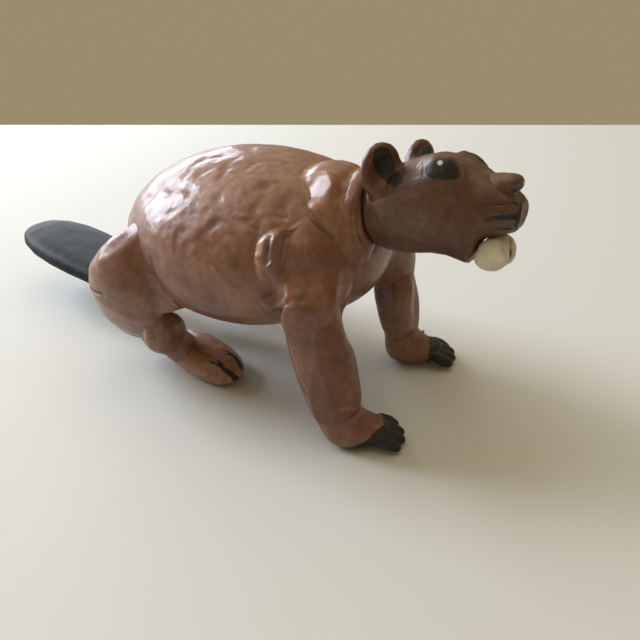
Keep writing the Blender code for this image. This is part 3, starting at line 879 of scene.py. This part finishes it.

# Marks on the pieces: pixels of the photo along each one, its height and radius in mm and its painted
# shade, which darkens grooves, creases, gaps and the places under edges. A negative one makes the place
# paler and lighter instead, a painted highlight where it lies on a rim or lip. MARK_AT_ENDS is about the
# share of a mark that is left at its ends, and MARK_SPAN keeps its fading off the very ends.
MARK_AT_ENDS = 0.35
MARK_SPAN = (0.02, 0.98)
MARKS = (
    # Muzzle: its grooves, with painted shade, then a ridge behind the eye
    (HEAD, ((478, 206), (500, 204.5), (517, 203)), -0.30, 0.35, 0.7),
    (HEAD, ((486, 219), (500, 217.5), (516, 216)), -0.55, 0.60, 0.9),
    (HEAD, ((493, 230), (511, 228)), -0.30, 0.35, 0.7),
    (HEAD, ((492, 236), (508, 234.5)), -0.20, 0.35, 0.5),
    (HEAD, ((418, 177), (423, 165)), 0.35, 0.9, 0.0),
    # Throat: two folds, with painted shade
    (THROAT, ((355, 198), (351, 216), (353, 236), (358, 250)), -0.30, 0.5, 0.35),
    (THROAT, ((360, 196), (357, 214), (358, 232), (366, 248)), -0.30, 0.5, 0.45),
    # Shoulder: a groove with painted shade, and a painted highlight on its rim
    (SHOULDER, ((270, 238), (267, 250), (264, 266)), -0.8, 0.9, 0.7),
    (SHOULDER, ((262, 240), (259, 250), (259, 264), (262, 282)), 0.45, 1.4, -0.7),
    # Elbow: creases, with painted shade
    (ARM, ((270, 314), (279, 311), (288, 303)), -0.9, 0.9, 0.5),
    (ARM, ((277, 312), (279, 313)), -0.8, 1.0, 0.8),
    (ARM, ((298, 299), (304, 301)), -0.5, 1.1, 0.4),
    # Knee: a crack with painted shade, a painted highlight on its edge, and a pale spot
    (THIGH, ((90.5, 287.5), (95, 292), (101, 294)), -0.4, 0.5, 0.9),
    (THIGH, ((92, 291.5), (101, 296)), 0.35, 0.5, -0.9),
    (THIGH, ((106, 297), (107, 297.5)), 0.35, 0.5, -1.0),
    # Ankle: a painted highlight on its rim, and the groove beside it with painted shade
    (ANKLE, ((152, 318), (146.5, 329), (147, 341), (152, 349)), 0.8, 0.8, -0.9),
    (ANKLE, ((158, 322), (154, 332), (155, 342)), -0.4, 0.9, 0.2),
    # Teeth: painted shade in the gap between them and in a groove on the near one
    (("right_tooth", "left_tooth"), ((510, 239), (510.5, 254), (510, 267)), -0.5, 0.45, 1.0),
    (("right_tooth",), ((498, 237), (503, 250), (507, 262)), -0.25, 0.5, 0.35),
    # Forelegs: painted highlights along their lit edges
    (("right_foreleg_stone",), ((283, 314), (289, 340), (299, 372), (310, 398)), 0.30, 0.6, -0.3),
    (FAR_ARM, ((407, 268), (412, 285), (412, 305)), 0.25, 0.6, -0.25),
    # Far paw: a lump
    (("left_front_paw",), ((425, 329), (425.5, 329)), 0.8, 0.6, 0.0),
    # Head: brow, cheek, jaw and nose, with painted shade in the dents and grooves
    (HEAD, ((463, 153), (470, 153)), 0.6, 1.8, 0.0),
    (HEAD, ((482, 165), (486, 170)), -0.5, 1.8, 0.0),
    (HEAD, ((363, 212), (367, 228), (378, 242), (392, 251)), 0.35, 0.9, 0.0),
    (HEAD, ((371, 199), (372, 212), (378, 226)), -0.35, 1.0, 0.2),
    (HEAD, ((384, 201), (400, 203), (420, 200)), 0.25, 1.6, 0.0),
    (HEAD, ((495, 176), (500, 189), (511, 194)), -0.35, 0.5, 0.7),
    (HEAD, ((466, 242), (468, 252), (474, 262)), -0.4, 0.6, 0.5),
    # Body: a groove beside the thigh with the thigh's painted shadow in it, and two pale flecks
    (BODY, ((150, 260), (157, 284), (167, 306)), -0.7, 1.3, 0.7),
    (BODY, ((212, 268), (212.5, 268)), 0.30, 0.6, -1.0),
    (BODY, ((287, 221), (287.5, 221)), 0.25, 0.6, -1.0),
    # Hind foot: a painted highlight along the edge of its sole
    (HIND_FOOT, ((204, 380.5), (218, 384), (233, 383)), 0.0, 0.45, -1.0),
    # Neck: painted shade along its lower edge
    (("neck_stone", "body_stone", "right_shoulder_stone"), ((305, 198), (310, 211), (320, 226), (334, 237)),
     -0.45, 0.8, 0.45),
    # Forelegs: slimmer along one side
    (FAR_ARM, ((416, 262), (418, 282), (418, 300), (417, 320)), -1.5, 3.0, 0.0),
    (ARM, ((346, 284), (346, 300), (348, 316), (352, 334)), -2.0, 3.2, 0.0),
    # Near paw and elbow: pale rims, the elbow's a painted highlight
    (("right_front_paw", "right_foreleg_stone"), ((337, 412), (345, 408), (354, 409)), 0.20, 0.7, -0.35),
    (ARM, ((276, 306), (283, 301), (287, 297)), 0.2, 0.6, -0.4),
)
for nodes, pixels, tall, radius, wash in MARKS:
    line = [seen(nodes, x, y) for x, y in pixels]
    for node in nodes:
        shape = shapes[node]
        away, along = from_line(shape.points, line)
        bell = np.exp(-((away / (radius * MM)) ** 2))
        fading = np.sin(np.pi * np.clip(along, *MARK_SPAN)) ** 0.5
        share = bell * (MARK_AT_ENDS + (1 - MARK_AT_ENDS) * fading)
        shape.height += tall * MM * share
        # Painted shade darkens a mark, and a negative one paints a highlight, paler and lighter
        shape.wash = np.maximum(shape.wash, wash * share)
        shape.pale = np.maximum(shape.pale, -wash * share)
        shape.tone += np.maximum(-wash, 0) * share

# Black brush strokes: their pixels, and in mm how far the black reaches to each side at the start
# and at the end
STROKES = (
    # Hind foot: between the toes
    (HIND_FOOT, ((221, 349.5), (229, 352.5), (236, 358), (241, 366)), 0.15, 1.1),
    (HIND_FOOT, ((224, 354), (232, 355)), 0.15, 0.5),
    (HIND_FOOT, ((209, 361), (218, 364.5), (227, 371), (236, 379)), 0.15, 1.1),
    (HIND_FOOT, ((215, 359), (222, 365)), 0.15, 0.6),
    # Knee: the crack
    (THIGH, ((90.5, 288), (95, 291.5), (101, 293)), 0.10, 0.40),
    # Muzzle: its grooves and the mouth
    (HEAD, ((484, 206.5), (500, 204.5), (517, 203.5)), 0.02, 0.45),
    (HEAD, ((486, 219), (500, 217.5), (516, 216.5)), 0.05, 0.80),
    (HEAD, ((494, 230), (511, 228.5)), 0.05, 0.50),
    (HEAD, ((498, 236), (509, 234.5)), 0.05, 0.35),
    (HEAD, ((520.5, 198), (519.5, 212), (517, 224), (514.5, 233)), 0.60, 0.80),
    # Nose and ears
    (("nose_stone", "head_stone"), ((513, 191), (521, 189)), 0.6, 1.2),
    (EAR, ((381, 157), (385, 167)), 2.7, 2.7),
    (EAR, ((387, 172), (396, 180)), 2.1, 2.0),
    (("left_ear",), ((422, 152), (429, 149)), 0.8, 1.2),
)
for nodes, pixels, first, last in STROKES:
    line = [seen(nodes, x, y) for x, y in pixels]
    for node in nodes:
        shape = shapes[node]
        away, along = from_line(shape.points, line)
        shape.black = np.minimum(shape.black, away - (first + (last - first) * along) * MM)

# Eyes: black domes on the brows, each with a groove around it and a cream dot
head = shapes["head_stone"]
low, high = (Vector(corner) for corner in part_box("head_stone"))
head_middle = (low + high) / 2
head_axes = np.array(Euler(HEAD_TURN).to_matrix())
near_eye = [seen(HEAD, x, y) for x, y in EYE_PIXELS]


def over_head(point, shift):
    """A point of the near side of the head mirrored to its far side, and shifted along the head's axes."""
    local = (point - np.array(head_middle)) @ head_axes
    local[1] *= -1
    return (local + shift) @ head_axes.T + np.array(head_middle)


for eye in (near_eye, [over_head(point, np.array(FAR_EYE_SHIFT)) for point in near_eye]):
    middle, back, front, top, bottom, dot = eye
    wide = (front - back) / 2
    tall = (bottom - top) / 2
    from_middle = head.points - middle
    a = np.abs(from_middle @ wide) / (wide @ wide)
    b = np.abs(from_middle @ tall) / (tall @ tall)
    out = (a ** EYE_POWER + b ** EYE_POWER) ** (1 / EYE_POWER)
    near = np.linalg.norm(from_middle, axis=1) < EYE_REACH
    rim = np.where(near, (out - 1) * np.linalg.norm(tall), FAR_OFF)
    head.black = np.minimum(head.black, rim)
    dome = EYE_DOME * np.clip(1 - out ** 2, 0, 1)
    groove = EYE_GROOVE * np.exp(-((out - EYE_GROOVE_AT) / EYE_GROOVE_WIDTH) ** 2)
    head.height += np.where(near, dome - groove, 0)
    head.cream = np.minimum(head.cream, np.linalg.norm(head.points - dot, axis=1) - EYE_DOT)

# Claws: black from a slanted line across each paw
for side, pixels in PAW_BLACK.items():
    paw = shapes[side + "_front_paw"]
    under, over = (seen((paw.node,), x, y) for x, y in pixels)
    across = np.array((-math.sin(PAW_HEADING), math.cos(PAW_HEADING), 0))
    facing = np.cross(over - under, across)
    facing /= np.linalg.norm(facing)
    if facing[0] < 0:
        facing = -facing
    past = (paw.points - under) @ facing + bumps(paw.points, *CLAW_EDGE)
    above = paw.points[:, 2] - CLAW_TOP
    paw.black = np.minimum(paw.black, np.maximum(-past, above))

# Finished pieces: the tail and teeth are bare stone and the others are painted brown
SLOTS = {"tail_stone": (slate, "dark_stone"), "tooth": (cream, "cream_stone")}
for node, shape in shapes.items():
    finished(shape, *SLOTS.get(kind_of(node), (brown, "varnished_brown")))

# Floor
forward = camera_axes @ Vector((0, 0, -1))
forward = Vector((forward.x, forward.y, 0)).normalized()
across = Vector((-forward.y, forward.x, 0))
far_edge = Vector((camera_at.x, camera_at.y, 0)) + forward * FLOOR_END
corners = [far_edge + across * FLOOR_REACH * left - forward * FLOOR_REACH * near
           for left, near in ((1, 0), (1, 1), (-1, 1), (-1, 0))]
paper, paper_shader = principled("floor_paper")
paper_shader.inputs["Base Color"].default_value = (*FLOOR_COLOUR, 1.0)
paper_shader.inputs["Roughness"].default_value = FLOOR_ROUGHNESS
floor_mesh = bpy.data.meshes.new("floor")
floor_mesh.from_pydata(corners, [], [(0, 1, 2, 3)])
floor_mesh.materials.append(paper)
floor = placed("floor", floor_mesh)

# Light: low windows behind the tail, a soft ceiling and a warm room that is darker behind the camera
world = bpy.data.worlds.new("room")
world.use_nodes = True
tree = world.node_tree
background = tree.nodes["Background"]
background.inputs["Color"].default_value = (*ROOM_COLOUR, 1.0)
ways = tree.nodes.new("ShaderNodeTexCoord")
toward = tree.nodes.new("ShaderNodeVectorMath")
toward.operation = "DOT_PRODUCT"
toward.inputs[1].default_value = forward
fade = tree.nodes.new("ShaderNodeMapRange")
for socket, value in (("From Min", ROOM_FADE[0]), ("From Max", ROOM_FADE[1]),
                      ("To Min", ROOM_DARK), ("To Max", ROOM_BRIGHT)):
    fade.inputs[socket].default_value = value
tree.links.new(ways.outputs["Generated"], toward.inputs[0])
tree.links.new(toward.outputs["Value"], fade.inputs["Value"])
tree.links.new(fade.outputs["Result"], background.inputs["Strength"])
bpy.context.scene.world = world
bpy.context.scene.view_settings.view_transform = "Standard"

for name, (azimuth, elevation, away, size, power, colour) in LIGHTS.items():
    out = way_to(azimuth, elevation)
    data = bpy.data.lights.new(name, "AREA")
    data.shape = "RECTANGLE"
    data.size, data.size_y = size
    data.energy = power
    data.color = colour
    light = placed(name, data)
    light.location = body_middle + out * away
    light.rotation_euler = out.to_track_quat("Z", "Y").to_euler()
